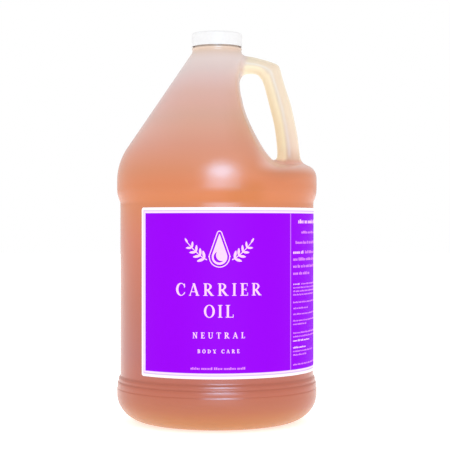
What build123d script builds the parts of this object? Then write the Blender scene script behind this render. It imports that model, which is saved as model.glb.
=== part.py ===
from build123d import *
import math
import os

os.makedirs("parts", exist_ok=True)

# One-gallon round jug with a pass-through handle and a 38 mm screw cap.
# Frame: origin at the centre of the standing ring, +Z up, handle towards +X,
# front label panel towards -Y. All lengths in millimetres.

# ---------------------------------------------------------------- dimensions
BULGE_R = 76.7          # widest radius, shoulder and heel bulges
PANEL_R = 74.15         # recessed label panel
WALL = 1.0              # blow-moulded wall
FOOT_R = 52.55          # outer radius of the standing ring
FOOT_INNER_R = 45.3     # inner radius of the standing ring
PUSH_UP = 5.2           # height of the concave base
HEEL_H = 21.65          # height of the heel's rounded corner

HEEL_TOP_Z = 28.4       # heel bulge ends, two step rings follow
PANEL_LOW_Z = 36.45
PANEL_HIGH_Z = 167.7
BULGE_LOW_Z = 176.75
BULGE_HIGH_Z = 183.8    # shoulder arc starts
SHOULDER_R = 45.3       # shoulder arc radius
CONE_DEG = 34.2         # cone's angle from the vertical
COLLAR_R = 19.1         # collar under the cap
COLLAR_TOP_Z = 286.05

NECK_ROOT_R = 17.30     # neck wall between threads
NECK_CREST_R = 18.42    # outside of the neck thread
BORE_R = 15.4
RIM_Z = 295.35
PITCH = 4.2333          # 6 threads per inch
NECK_THREAD_TOP_Z = 293.15   # middle of the thread at its upper end
NECK_THREAD_TURNS = 1.05

LEDGE_Z = 196.85         # flat ledge that the grip stands on
CROWN = 0.002           # how fast the pocket falls back from the parting plane
RIM_ROUND = 6.0         # rounding of the pocket's rim
ROOT_ROUND = 2.0        # rounding where the grip stands on the ledge
GRIP_ROUND = 2.2        # rounding of the handle's long edges

CAP_R = 19.4
CAP_WALL_R = 18.55      # inside wall of the cap's skirt
CAP_LOW_Z = 287.15
CAP_TOP_Z = 297.35
CAP_ROOF = 1.1
CAP_THREAD_CREST_R = 17.5
THREAD_OFFSET = 1.5     # cap thread runs this far below the neck thread
CAP_THREAD_TURNS = 1.1
CAP_THREAD_END_DEG = 141.0
LINER_R = 18.5
LINER_GAP = 0.02

LABEL_GAP = 0.02        # adhesive
LABEL_T = 0.13
LABEL_LOW_Z = 39.65
LABEL_HIGH_Z = 162.95
LABEL_START_DEG = -47.5     # from the front (-Y) towards the handle (+X)
LABEL_END_DEG = 104.1
LABEL_CORNER = 2.0

OIL_GAP = 0.05
GRIP_OIL_GAP = 1.2      # same, inside the grip, where the bends are tight
FILL_Z = 267.0          # oil level for 3.785 litres

cone = math.radians(CONE_DEG)
ARC_TOP = (BULGE_R - SHOULDER_R * (1 - math.cos(cone)),
           BULGE_HIGH_Z + SHOULDER_R * math.sin(cone))
CONE_TOP = (COLLAR_R + 0.8, ARC_TOP[1] + (ARC_TOP[0] - COLLAR_R - 0.8) / math.tan(cone))

# Hand pocket: its wall from the collar down to the ledge, in the XZ plane.
POCKET = [(21.5, 280.0), (19.1, 272.8), (17.9, 265.2), (17.5, 258.7), (18.1, 252.1),
          (19.4, 246.1), (21.0, 239.5), (23.4, 232.5), (26.4, 225.8), (29.7, 219.0),
          (33.4, 212.4), (37.4, 206.1), (41.7, 200.9), (47.3, LEDGE_Z)]

# Handle: outer point, inner point and width across it, in the XZ plane.
HANDLE = [((13.1, 280.8), (13.1, 265.3), 23.0),
          ((24.7, 280.0), (23.8, 266.4), 22.0),
          ((34.2, 277.9), (30.6, 265.9), 21.5),
          ((41.7, 275.6), (33.8, 262.9), 21.0),
          ((47.7, 272.4), (35.6, 259.6), 21.0),
          ((50.3, 264.1), (37.1, 255.0), 21.0),
          ((53.1, 254.8), (38.5, 249.5), 21.0),
          ((56.8, 243.4), (41.0, 239.8), 21.0),
          ((59.8, 230.1), (43.8, 228.5), 21.0),
          ((62.1, 218.4), (45.5, 217.6), 21.0),
          ((63.5, 207.3), (46.5, 206.9), 21.6),
          ((64.4, 198.3), (46.5, 198.3), 23.0),
          ((64.4, 189.2), (46.5, 189.2), 23.0)]


def handle_plane(outer, inner):
    """Section plane of the handle: x across the handle, y along world Y."""
    ux, uz = outer[0] - inner[0], outer[1] - inner[1]
    n = math.hypot(ux, uz)
    ux, uz = ux / n, uz / n
    middle = ((outer[0] + inner[0]) / 2, 0, (outer[1] + inner[1]) / 2)
    return Plane(origin=middle, x_dir=(ux, 0, uz), z_dir=(uz, 0, -ux)), n


def handle_bar(inset, first=0):
    """The handle as a six-sided rounded bar, or its hollow when inset."""
    with BuildPart() as bar:
        for outer, inner, width in HANDLE[first:]:
            plane, across = handle_plane(outer, inner)
            a = across / 2 - inset
            b = width / 2 - inset * 1.15
            c = b * 0.50
            with BuildSketch(plane):
                with BuildLine():
                    Polyline((a, c), (0, b), (-a, c), (-a, -c), (0, -b), (a, -c), close=True)
                s = make_face()
                fillet(s.vertices(), max(GRIP_ROUND - inset * 0.6, 0.6))
        loft()
    return bar.part


def shifted(points, amount):
    """The points of an open line, moved to its right by amount."""
    moved = []
    for i, (x, z) in enumerate(points):
        x0, z0 = points[max(i - 1, 0)]
        x1, z1 = points[min(i + 1, len(points) - 1)]
        n = math.hypot(x1 - x0, z1 - z0)
        moved.append((x + (z1 - z0) / n * amount, z - (x1 - x0) / n * amount))
    return moved


def pocket_cutter(grow):
    """Block that opens the hand pocket through the shoulder.

    Its wall and its floor are crowned: they fall back as they leave the
    parting plane, as a mould half needs.
    """
    with BuildPart() as cutter:
        for y in (-92, -69, -46, -23, 0, 23, 46, 69, 92):
            back = grow + CROWN * y * y
            points = shifted(POCKET, back)
            floor_z = LEDGE_Z - back
            points[-1] = (POCKET[-1][0], floor_z)
            with BuildSketch(Plane(origin=(0, y, 0), x_dir=(1, 0, 0), z_dir=(0, -1, 0))):
                with BuildLine():
                    wall = Spline(points, tangents=((-0.36, -1.0), (1.0, 0.0)))
                    Polyline(wall @ 1, (95, floor_z), (95, 307), (40, 307), wall @ 0)
                make_face()
        loft()
    return cutter.part


def body_profile():
    """Half outline of the jug's outside, from the axis to the axis."""
    with BuildSketch(Plane.XZ) as half:
        with BuildLine():
            ThreePointArc((0, PUSH_UP), (28.0, 3.9), (FOOT_INNER_R, 0))
            Line((FOOT_INNER_R, 0), (FOOT_R, 0))
            EllipticalCenterArc((FOOT_R, HEEL_H), BULGE_R - FOOT_R, HEEL_H, -90, arc_size=90)
            Polyline((BULGE_R, HEEL_H), (BULGE_R, HEEL_TOP_Z), (76.25, 30.9), (75.7, 31.7),
                     (75.75, 33.4), (PANEL_R, PANEL_LOW_Z), (PANEL_R, PANEL_HIGH_Z),
                     (75.8, 172.7), (BULGE_R, BULGE_LOW_Z), (BULGE_R, BULGE_HIGH_Z))
            RadiusArc((BULGE_R, BULGE_HIGH_Z), ARC_TOP, -SHOULDER_R)
            Polyline(ARC_TOP, CONE_TOP, (COLLAR_R, CONE_TOP[1] + 0.9),
                     (COLLAR_R - 0.3, 284.15), (COLLAR_R + 0.1, 285.25),
                     (COLLAR_R - 0.1, COLLAR_TOP_Z), (NECK_ROOT_R, COLLAR_TOP_Z),
                     (NECK_ROOT_R, RIM_Z - 0.4), (NECK_ROOT_R - 0.4, RIM_Z), (0, RIM_Z), (0, PUSH_UP))
        make_face()
    return half.sketch


def inside_profile(inset):
    """Half outline of the space inside, inset from the outside."""
    k = inset
    s, t = math.sin(cone) * k, math.cos(cone) * k
    with BuildSketch(Plane.XZ) as half:
        with BuildLine():
            ThreePointArc((0, PUSH_UP + k), (28.0, 3.9 + k), (FOOT_INNER_R + k * 0.3, k))
            Line((FOOT_INNER_R + k * 0.3, k), (FOOT_R, k))
            EllipticalCenterArc((FOOT_R, HEEL_H), BULGE_R - FOOT_R - k, HEEL_H - k, -90, arc_size=90)
            Polyline((BULGE_R - k, HEEL_H), (BULGE_R - k, HEEL_TOP_Z), (PANEL_R - k, PANEL_LOW_Z + 0.5),
                     (PANEL_R - k, PANEL_HIGH_Z), (75.8 - k, 172.7), (BULGE_R - k, BULGE_LOW_Z),
                     (BULGE_R - k, BULGE_HIGH_Z))
            RadiusArc((BULGE_R - k, BULGE_HIGH_Z), (ARC_TOP[0] - t, ARC_TOP[1] - s), -(SHOULDER_R - k))
            bore = BORE_R - max(k - WALL, 0)
            run = (CONE_TOP[0] - 2.2 - (ARC_TOP[0] - t)) / -math.tan(cone)
            Polyline((ARC_TOP[0] - t, ARC_TOP[1] - s), (CONE_TOP[0] - 2.2, ARC_TOP[1] - s + run),
                     (bore, ARC_TOP[1] - s + run + 4.0), (bore, RIM_Z + 2), (0, RIM_Z + 2), (0, PUSH_UP + k))
        make_face()
    return half.sketch


def thread_solid(root_r, crest_r, z_zero, end_deg, turns, sign):
    """Helical ridge that fades in and out, its top at end_deg.

    z_zero is the ridge's middle at 0 degrees. sign is +1 for a ridge that
    points outwards and -1 for one that points inwards.
    """
    steps = int(20 * turns) + 1
    fade = 0.07
    with BuildPart() as ridge:
        for i in range(steps + 1):
            f = i / steps
            ease = 0.12 + 0.88 * min(1.0, f / fade, (1 - f) / fade)
            angle = end_deg + 360 * turns * (f - 1)
            z = z_zero + PITCH * angle / 360
            a = math.radians(angle)
            tip = root_r + (crest_r - root_r) * ease
            back = root_r - sign * 0.45
            w0, w1 = 1.15, 0.45 * ease
            with BuildSketch(Plane(origin=(0, 0, z), x_dir=(math.cos(a), math.sin(a), 0),
                                   z_dir=(math.sin(a), -math.cos(a), 0))):
                with BuildLine():
                    Polyline((back, -w0), (root_r, -w0), (tip, -w1), (tip, w1),
                             (root_r, w0), (back, w0), close=True)
                make_face()
        loft()
    return ridge.part


def pocket_rim(edges):
    """The long edges where the hand pocket breaks through the outside."""
    rim = []
    for e in edges:
        box = e.bounding_box()
        if box.min.X > 5 and box.min.Z > 175 and max(-box.min.Y, box.max.Y) > 20 and abs(e.center().Y) > 8:
            rim.append(e)
    return rim


# ------------------------------------------------------- shared helper solids
outer_half = body_profile()
wall_half = inside_profile(WALL)
oil_half = inside_profile(WALL + OIL_GAP)
pocket = pocket_cutter(0)
pocket_wall = pocket_cutter(WALL)
pocket_oil = pocket_cutter(WALL + OIL_GAP)
bar = handle_bar(0)
bar_hollow = handle_bar(WALL)
bar_oil = handle_bar(WALL + GRIP_OIL_GAP, 4)     # the grip only: the oil stays below the bridge
neck_ridge = thread_solid(NECK_ROOT_R, NECK_CREST_R, NECK_THREAD_TOP_Z, 0.0, NECK_THREAD_TURNS, 1)
cap_ridge = thread_solid(CAP_WALL_R, CAP_THREAD_CREST_R, NECK_THREAD_TOP_Z - THREAD_OFFSET,
                         CAP_THREAD_END_DEG, CAP_THREAD_TURNS, -1)

# The hollow of the jug, joined through both ends of the handle.
with BuildPart() as cavity:
    add(wall_half)
    revolve(axis=Axis.Z)
    add(pocket_wall, mode=Mode.SUBTRACT)
    fillet(pocket_rim(cavity.edges()), RIM_ROUND - WALL)
    add(bar_hollow)

# ---------------------------------------------------------------- jug body
with BuildPart() as jug_body:
    add(outer_half)
    revolve(axis=Axis.Z)
    add(pocket, mode=Mode.SUBTRACT)
    fillet(pocket_rim(jug_body.edges()), RIM_ROUND)
    add(bar)
    add(cavity.part, mode=Mode.SUBTRACT)
    add(neck_ridge)
jug_body.part.label = "jug_body"
export_step(jug_body.part, "parts/jug_body.step")

# ---------------------------------------------------------------- screw cap
with BuildPart() as screw_cap:
    with BuildSketch(Plane.XZ):
        with BuildLine():
            Polyline((0, CAP_TOP_Z - CAP_ROOF), (CAP_WALL_R, CAP_TOP_Z - CAP_ROOF), (CAP_WALL_R, CAP_LOW_Z + 0.3),
                     (CAP_WALL_R + 0.25, CAP_LOW_Z), (CAP_R, CAP_LOW_Z), (CAP_R, CAP_TOP_Z - 1.2))
            RadiusArc((CAP_R, CAP_TOP_Z - 1.2), (CAP_R - 1.2, CAP_TOP_Z), -1.2)
            Polyline((CAP_R - 1.2, CAP_TOP_Z), (0, CAP_TOP_Z), (0, CAP_TOP_Z - CAP_ROOF))
        make_face()
    revolve(axis=Axis.Z)
    add(cap_ridge)
screw_cap.part.label = "screw_cap"
export_step(screw_cap.part, "parts/screw_cap.step")

# ---------------------------------------------------------------- cap liner
with BuildPart() as cap_liner:
    with BuildSketch(Plane.XY.offset(RIM_Z + LINER_GAP)):
        Circle(LINER_R)
    extrude(amount=CAP_TOP_Z - CAP_ROOF - RIM_Z - 2 * LINER_GAP)
cap_liner.part.label = "cap_liner"
export_step(cap_liner.part, "parts/cap_liner.step")

# ---------------------------------------------------------------- label
LABEL_R = PANEL_R + LABEL_GAP
with BuildPart() as wrap_label:
    with BuildSketch(Plane.XY.offset(LABEL_LOW_Z)):
        with BuildLine():
            a0, a1 = LABEL_START_DEG - 90, LABEL_END_DEG - 90
            CenterArc((0, 0), LABEL_R, a0, a1 - a0)
            CenterArc((0, 0), LABEL_R + LABEL_T, a0, a1 - a0)
            for a in (math.radians(a0), math.radians(a1)):
                Line((LABEL_R * math.cos(a), LABEL_R * math.sin(a)),
                     ((LABEL_R + LABEL_T) * math.cos(a), (LABEL_R + LABEL_T) * math.sin(a)))
        make_face()
    extrude(amount=LABEL_HIGH_Z - LABEL_LOW_Z)
    corners = [e for e in wrap_label.edges().filter_by(GeomType.LINE) if e.length < 1.0]
    fillet(corners, LABEL_CORNER)
wrap_label.part.label = "wrap_label"
export_step(wrap_label.part, "parts/wrap_label.step")

# ---------------------------------------------------------------- oil
with BuildPart() as oil_fill:
    add(oil_half)
    revolve(axis=Axis.Z)
    add(pocket_oil, mode=Mode.SUBTRACT)
    fillet(pocket_rim(oil_fill.edges()), RIM_ROUND - WALL - OIL_GAP)
    add(bar_oil)
    with BuildSketch(Plane.XY.offset(FILL_Z)):
        Circle(120)
    extrude(amount=60, mode=Mode.SUBTRACT)
oil_fill.part.label = "oil_fill"
export_step(oil_fill.part, "parts/oil_fill.step")

print("cavity litres", cavity.part.volume / 1e6, "oil litres", oil_fill.part.volume / 1e6)
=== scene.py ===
import math

import bpy
import numpy as np
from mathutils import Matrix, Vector


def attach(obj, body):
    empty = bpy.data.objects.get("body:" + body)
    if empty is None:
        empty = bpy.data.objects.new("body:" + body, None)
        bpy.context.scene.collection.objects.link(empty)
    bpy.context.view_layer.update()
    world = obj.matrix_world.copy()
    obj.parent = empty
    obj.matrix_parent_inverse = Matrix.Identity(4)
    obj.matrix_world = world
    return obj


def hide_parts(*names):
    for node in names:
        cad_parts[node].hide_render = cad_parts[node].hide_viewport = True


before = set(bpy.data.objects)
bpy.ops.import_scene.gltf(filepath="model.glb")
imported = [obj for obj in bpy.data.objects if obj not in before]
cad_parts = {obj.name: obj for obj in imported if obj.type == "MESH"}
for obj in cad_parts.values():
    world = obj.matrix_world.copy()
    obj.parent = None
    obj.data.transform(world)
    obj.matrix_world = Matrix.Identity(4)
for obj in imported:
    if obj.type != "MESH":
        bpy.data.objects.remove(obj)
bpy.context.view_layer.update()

# Work below is in millimetres. Meshes are scaled to metres as they are made.
MM = 0.001

# ---------------------------------------------------------------- dimensions
BULGE_R, PANEL_R, WALL = 76.7, 74.15, 1.0
FOOT_R, FOOT_INNER_R, PUSH_UP, HEEL_H = 52.55, 45.3, 5.2, 21.65
SHOULDER_Z, SHOULDER_R, CONE = 183.8, 45.3, math.radians(34.2)
LEDGE_Z, CROWN = 196.85, 0.002
COLLAR_R, COLLAR_TOP = 19.1, 286.05
NECK_R, NECK_CREST, BORE_R, RIM_Z, PITCH = 17.3, 18.42, 15.4, 295.35, 4.2333
ARC_TOP = (BULGE_R - SHOULDER_R * (1 - math.cos(CONE)), SHOULDER_Z + SHOULDER_R * math.sin(CONE))
CONE_TOP = (COLLAR_R + 0.8, ARC_TOP[1] + (ARC_TOP[0] - COLLAR_R - 0.8) / math.tan(CONE))
FILL_Z = 267.0
LABEL_LOW, LABEL_HIGH, LABEL_A0, LABEL_A1 = 39.65, 162.95, -47.5, 104.1

POCKET = [(22.4, 300.0), (21.9, 287.0), (21.5, 280.0), (19.1, 272.8), (17.9, 265.2), (17.5, 258.7), (18.1, 252.1),
          (19.4, 246.1), (21.0, 239.5), (23.4, 232.5), (26.4, 225.8), (29.7, 219.0),
          (33.4, 212.4), (37.4, 206.1), (41.7, 200.9), (45.0, 198.3), (49.0, LEDGE_Z + 0.15), (56.0, LEDGE_Z), (80.0, LEDGE_Z - 0.9), (130.0, LEDGE_Z - 4.0)]
HANDLE = [((13.1, 280.8), (13.1, 265.3), 23.0), ((24.7, 280.0), (23.8, 266.4), 22.0),
          ((34.2, 277.9), (30.6, 265.9), 21.5), ((41.7, 275.6), (33.8, 262.9), 21.0),
          ((47.7, 272.4), (35.6, 259.6), 21.0), ((50.3, 264.1), (37.1, 255.0), 21.0),
          ((53.1, 254.8), (38.5, 249.5), 21.0), ((56.8, 243.4), (41.0, 239.8), 21.0),
          ((59.8, 230.1), (43.8, 228.5), 21.0), ((62.1, 218.4), (45.5, 217.6), 21.0),
          ((63.5, 207.3), (46.5, 206.9), 21.6), ((64.4, 198.3), (46.5, 198.3), 23.0),
          ((64.4, 189.2), (46.5, 189.2), 23.0)]


# ---------------------------------------------------------------- 2-D helpers
def rounded(points, radii, n=8):
    """A polyline whose inner corners are replaced by arcs of the given radii."""
    out = [points[0]]
    for i in range(1, len(points) - 1):
        p0, p1, p2 = (np.array(points[k], float) for k in (i - 1, i, i + 1))
        r = radii.get(i, 0) if isinstance(radii, dict) else radii
        a, b = p0 - p1, p2 - p1
        la, lb = np.linalg.norm(a), np.linalg.norm(b)
        a, b = a / la, b / lb
        ang = math.acos(max(-1, min(1, float(a @ b))))
        if r <= 0 or ang > math.pi - 0.02:
            out.append(tuple(p1))
            continue
        d = min(r / math.tan(ang / 2), 0.48 * la, 0.48 * lb)
        rr = d * math.tan(ang / 2)
        bis = (a + b) / np.linalg.norm(a + b)
        c = p1 + bis * (rr / math.sin(ang / 2))
        s, e = p1 + a * d, p1 + b * d
        t0, t1 = math.atan2(*(s - c)[::-1]), math.atan2(*(e - c)[::-1])
        dt = (t1 - t0 + math.pi) % (2 * math.pi) - math.pi
        for k in range(n + 1):
            t = t0 + dt * k / n
            out.append((c[0] + rr * math.cos(t), c[1] + rr * math.sin(t)))
    out.append(points[-1])
    return np.array(out, float)


def smooth_line(points, per=6):
    """Points along a Catmull-Rom curve through the given rows."""
    p = np.array(points, float)
    ext = np.vstack([2 * p[0] - p[1], p, 2 * p[-1] - p[-2]])
    out = []
    for i in range(1, len(ext) - 2):
        a, b, c, d = ext[i - 1], ext[i], ext[i + 1], ext[i + 2]
        for k in range(per):
            t = k / per
            out.append(0.5 * (2 * b + (c - a) * t + (2 * a - 5 * b + 4 * c - d) * t * t + (3 * b - a - 3 * c + d) * t ** 3))
    out.append(p[-1])
    return np.array(out)


def nearest_on(line, x, z, chunk=20000):
    """For each point: signed side, distance and unit direction to an open polyline.

    The side is +1 to the left of the line's direction and -1 to its right.
    """
    a, b = line[:-1], line[1:]
    d = b - a
    l2 = (d * d).sum(1)
    x, z = np.asarray(x, float).ravel(), np.asarray(z, float).ravel()
    side, dist, gx, gz = (np.empty(len(x)) for _ in range(4))
    for s in range(0, len(x), chunk):
        px, pz = x[s:s + chunk, None], z[s:s + chunk, None]
        t = np.clip(((px - a[:, 0]) * d[:, 0] + (pz - a[:, 1]) * d[:, 1]) / l2, 0, 1)
        ex, ez = px - (a[:, 0] + t * d[:, 0]), pz - (a[:, 1] + t * d[:, 1])
        e2 = ex * ex + ez * ez
        k = e2.argmin(1)
        rows = np.arange(len(k))
        ex, ez, e2 = ex[rows, k], ez[rows, k], e2[rows, k]
        # at a corner the side comes from the mean of the two directions
        tt = t[rows, k]
        dd = d / np.sqrt(l2)[:, None]
        nx_, nz_ = dd[k, 0].copy(), dd[k, 1].copy()
        at_end = (tt >= 1) & (k < len(d) - 1)
        nx_[at_end] += dd[k[at_end] + 1, 0]
        nz_[at_end] += dd[k[at_end] + 1, 1]
        at_start = (tt <= 0) & (k > 0)
        nx_[at_start] += dd[k[at_start] - 1, 0]
        nz_[at_start] += dd[k[at_start] - 1, 1]
        sd = np.where(nx_ * ez - nz_ * ex >= 0, 1.0, -1.0)
        dist_ = np.sqrt(e2)
        safe = np.maximum(dist_, 1e-9)
        side[s:s + chunk], dist[s:s + chunk] = sd, dist_
        gx[s:s + chunk], gz[s:s + chunk] = ex / safe, ez / safe
    return side, dist, gx, gz


# ---------------------------------------------------------------- the jug as a distance field
def outline():
    """The outside's half outline from the axis at the base up past the neck."""
    pts = [(-20.0, PUSH_UP - 0.6), (0.0, PUSH_UP), (14.0, 4.95), (28.0, 3.9), (38.0, 2.3), (FOOT_INNER_R - 1.2, 0.55), (FOOT_INNER_R + 1.0, 0.0), (FOOT_R, 0.0)]
    rad = {6: 1.0, 5: 1.5}
    low = rounded(pts, rad)
    arc = [(FOOT_R + (BULGE_R - FOOT_R) * math.sin(t), HEEL_H - HEEL_H * math.cos(t)) for t in np.linspace(0.05, math.pi / 2, 28)]
    mid = [(BULGE_R, 25.3), (BULGE_R, 25.75), (BULGE_R - 0.28, 26.05), (BULGE_R - 0.28, 28.6), (76.2, 30.5), (75.45, 31.3), (75.5, 33.1),
           (75.1, 34.4), (PANEL_R, 35.5), (PANEL_R, 40.0), (PANEL_R, 100.0), (PANEL_R, 167.2), (75.35, 170.6), (76.3, 173.6), (76.62, 177.0), (BULGE_R, 181.5), (BULGE_R, SHOULDER_Z)]
    mid = rounded([(BULGE_R, 22.5)] + mid, {1: 0.2, 2: 0.2, 3: 0.2, 4: 1.5, 5: 0.7, 6: 0.5, 7: 0.7, 8: 0.8, 9: 1.2, 12: 3.0, 13: 6.0, 14: 9.0, 15: 12.0}, 7)
    arc2 = [(BULGE_R - SHOULDER_R * (1 - math.cos(t)), SHOULDER_Z + SHOULDER_R * math.sin(t)) for t in np.linspace(0.04, CONE, 16)]
    top = rounded([arc2[-1], CONE_TOP, (COLLAR_R, CONE_TOP[1] + 0.9), (COLLAR_R - 0.25, 284.15), (COLLAR_R - 0.2, 300.0)], {1: 3.0, 2: 2.0, 3: 1.0}, 7)
    return np.vstack([low[:-1], [(FOOT_R, 0.0)], arc, mid[1:-1], [(BULGE_R, SHOULDER_Z)], arc2, top[1:]])


OUT = outline()
POCKET_LINE = smooth_line(POCKET, 6)
HROWS = smooth_line([(o[0], o[1], i[0], i[1], w) for o, i, w in HANDLE], 12)
H_OUTER, H_INNER = HROWS[:, 0:2], HROWS[:, 2:4]
H_MID, H_HALF = (H_OUTER + H_INNER) / 2, HROWS[:, 4] / 2


def smax(a, ga, b, gb, k):
    """The larger of two distances, with a smooth change-over of width k."""
    h = np.clip(0.5 + 0.5 * (a - b) / k, 0, 1)
    v = b + (a - b) * h + k * h * (1 - h)
    return v, gb + (ga - gb) * h[:, None]


def field_body(p):
    """Distance and gradient of the body of revolution."""
    r = np.hypot(p[:, 0], p[:, 1])
    side, dist, gr, gz = nearest_on(OUT, r, p[:, 2])
    v = -side * dist
    s = np.where(dist > 1e-9, -side, -1.0)
    rr = np.maximum(r, 1e-6)
    g = np.stack([s * gr * p[:, 0] / rr, s * gr * p[:, 1] / rr, s * gz], 1)
    return v, g


def field_pocket(p):
    """Distance into the hand pocket's cut, positive inside the cut."""
    side, dist, gx, gz = nearest_on(POCKET_LINE, p[:, 0], p[:, 2])
    v = side * dist + CROWN * p[:, 1] ** 2
    g = np.stack([side * gx, 2 * CROWN * p[:, 1], side * gz], 1)
    n = np.sqrt(1 + (2 * CROWN * p[:, 1]) ** 2)
    return v / n, g / n[:, None]


def field_handle(p):
    """Distance and gradient of the handle's rounded eight-sided bar, between its outer and its inner curve."""
    # both curves run downwards, so the bar is on the right of the outer one and on the left of the inner one
    so, do, gox, goz = nearest_on(H_OUTER, p[:, 0], p[:, 2])
    si, di, gix, giz = nearest_on(H_INNER, p[:, 0], p[:, 2])
    out, inn = so * do, -si * di
    go, gi = np.stack([so * gox, so * goz], 1), np.stack([-si * gix, -si * giz], 1)
    a = np.maximum(-(out + inn) / 2, 3.0)
    w, gw = (out - inn) / 2, (go - gi) / 2
    k = np.empty(len(p), int)
    for s in range(0, len(p), 40000):
        k[s:s + 40000] = ((p[s:s + 40000, 0:1] - H_MID[:, 0]) ** 2 + (p[s:s + 40000, 2:3] - H_MID[:, 1]) ** 2).argmin(1)
    b, v = H_HALF[k], p[:, 1]
    aw, av = np.sqrt(w * w + 0.04), np.sqrt(v * v + 0.04)
    n = np.hypot(0.58 * b, 0.68 * a)
    q2 = (aw * 0.58 * b + av * 0.68 * a - (0.32 * a * 0.58 * b + b * 0.68 * a)) / n
    g1, g2, g3 = (np.zeros_like(p) for _ in range(3))
    sw, sv = w / aw, v / av
    one = np.maximum(out, inn)
    first = (out > inn)[:, None]
    gg = np.where(first, go, gi)
    g1[:, 0], g1[:, 2] = gg[:, 0], gg[:, 1]
    g2[:, 0], g2[:, 2] = sw * gw[:, 0] * 0.58 * b / n, sw * gw[:, 1] * 0.58 * b / n
    g2[:, 1] = sv * 0.68 * a / n
    g3[:, 1] = sv
    d, g = smax(one, g1, q2, g2, 3.4)
    return smax(d, g, av - b, g3, 1.6)


def blend_widths(z):
    """Widths of the pocket rim's and the handle roots' rounding; both tighten towards the neck."""
    t = np.clip((281.0 - z) / 20.0, 0, 1)
    t = t * t * (3 - 2 * t)
    return 1.2 + 8.3 * t, 1.6 + 5.2 * t




def field(p):
    """Distance and gradient of the whole jug's outside."""
    v, g = field_body(p)
    near = (p[:, 2] > 150) & (p[:, 0] > -40) & (p[:, 2] < 283.5)
    if near.any():
        b, gb = field_pocket(p[near])
        v[near], g[near] = smax(v[near], g[near], b, gb, blend_widths(p[near][:, 2])[0])
    near = (p[:, 2] > 191) & (p[:, 0] > 13.5) & (np.abs(p[:, 1]) < 26)
    if near.any():
        h, gh = field_handle(p[near])
        a, ga = smax(-v[near], -g[near], -h, -gh, blend_widths(p[near][:, 2])[1])
        v[near], g[near] = -a, -ga
    return v, g


def surface_net(xs, ys, zs, offset, cut_z=None):
    """Quads of the surface field = -offset on a grid whose levels may be uneven."""
    X, Y, Z = np.meshgrid(xs, ys, zs, indexing="ij")
    shape = X.shape
    # the body and the pocket depend on two coordinates only, so they come from tables
    rt = np.arange(0, 122, 0.25)
    R2, Z2 = np.meshgrid(rt, zs, indexing="ij")
    side, dist, _, _ = nearest_on(OUT, R2, Z2)
    tab = (-side * dist).reshape(R2.shape)
    r = np.hypot(X[:, :, 0], Y[:, :, 0])
    i0 = np.clip((r / 0.25).astype(int), 0, len(rt) - 2)
    f = r / 0.25 - i0
    F = tab[i0] * (1 - f[..., None]) + tab[i0 + 1] * f[..., None]
    X2, Z2 = np.meshgrid(xs, zs, indexing="ij")
    side, dist, _, _ = nearest_on(POCKET_LINE, X2, Z2)
    P = (side * dist).reshape(X2.shape)[:, None, :] + CROWN * ys[None, :, None] ** 2
    P = P / np.sqrt(1 + (2 * CROWN * ys[None, :, None]) ** 2)
    on = (X > -40) & (Z > 150) & (Z < 283.5)
    k = blend_widths(zs)[0][None, None, :]
    h = np.clip(0.5 + 0.5 * (F - P) / k, 0, 1)
    F = np.where(on, P + (F - P) * h + k * h * (1 - h), F)
    near = (Z > 191) & (X > 13.5) & (np.abs(Y) < 26) & (F > -12)
    p = np.stack([X[near], Y[near], Z[near]], 1)
    hv, _ = field_handle(p)
    a, b = -F[near], -hv
    k = blend_widths(Z[near])[1]
    h = np.clip(0.5 + 0.5 * (a - b) / k, 0, 1)
    F[near] = -(b + (a - b) * h + k * h * (1 - h))
    F += offset
    if cut_z is not None:
        F = np.maximum(F, Z - cut_z)
    neg = F < 0
    c = neg.astype(np.int8)
    s = sum(c[i:shape[0] - 1 + i, j:shape[1] - 1 + j, k:shape[2] - 1 + k] for i in (0, 1) for j in (0, 1) for k in (0, 1))
    active = (s > 0) & (s < 8)
    idx = -np.ones(active.shape, np.int64)
    ci = np.argwhere(active)
    idx[active] = np.arange(len(ci))
    grids = (xs, ys, zs)
    acc, cnt = np.zeros((len(ci), 3)), np.zeros(len(ci))
    for ax in range(3):
        o1, o2 = [k for k in range(3) if k != ax]
        for da in (0, 1):
            for db in (0, 1):
                a0 = ci.copy()
                a0[:, o1] += da
                a0[:, o2] += db
                a1 = a0.copy()
                a1[:, ax] += 1
                f0, f1 = F[tuple(a0.T)], F[tuple(a1.T)]
                m = (f0 < 0) != (f1 < 0)
                t = f0[m] / (f0[m] - f1[m])
                pos = np.stack([grids[k][a0[m, k]] for k in range(3)], 1)
                pos[:, ax] += t * (grids[ax][a1[m, ax]] - grids[ax][a0[m, ax]])
                acc[m] += pos
                cnt[m] += 1
    verts = acc / cnt[:, None]
    faces = []
    for ax, (b, c_) in ((0, (1, 2)), (1, (2, 0)), (2, (0, 1))):
        lo, hi = [slice(None)] * 3, [slice(None)] * 3
        lo[ax], hi[ax] = slice(0, -1), slice(1, None)
        n0, n1 = neg[tuple(lo)], neg[tuple(hi)]
        pos = np.argwhere(n0 != n1)
        pos = pos[(pos[:, b] >= 1) & (pos[:, b] <= shape[b] - 2) & (pos[:, c_] >= 1) & (pos[:, c_] <= shape[c_] - 2)]
        up = n0[tuple(pos.T)]
        quad = []
        for ob, oc in ((-1, -1), (0, -1), (0, 0), (-1, 0)):
            q = pos.copy()
            q[:, b] += ob
            q[:, c_] += oc
            quad.append(idx[tuple(q.T)])
        quad = np.stack(quad, 1)
        quad[~up] = quad[~up][:, ::-1]
        faces.append(quad)
    return verts, np.vstack(faces)


def neighbours(n, faces):
    """Unique edges of quads as pairs, and each vertex's number of neighbours."""
    e = np.vstack([faces[:, [k, (k + 1) % faces.shape[1]]] for k in range(faces.shape[1])])
    e = np.sort(e, 1)
    key, count = np.unique(e[:, 0] * n + e[:, 1], return_counts=True)
    pairs = np.stack([key // n, key % n], 1)
    return pairs, count


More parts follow.
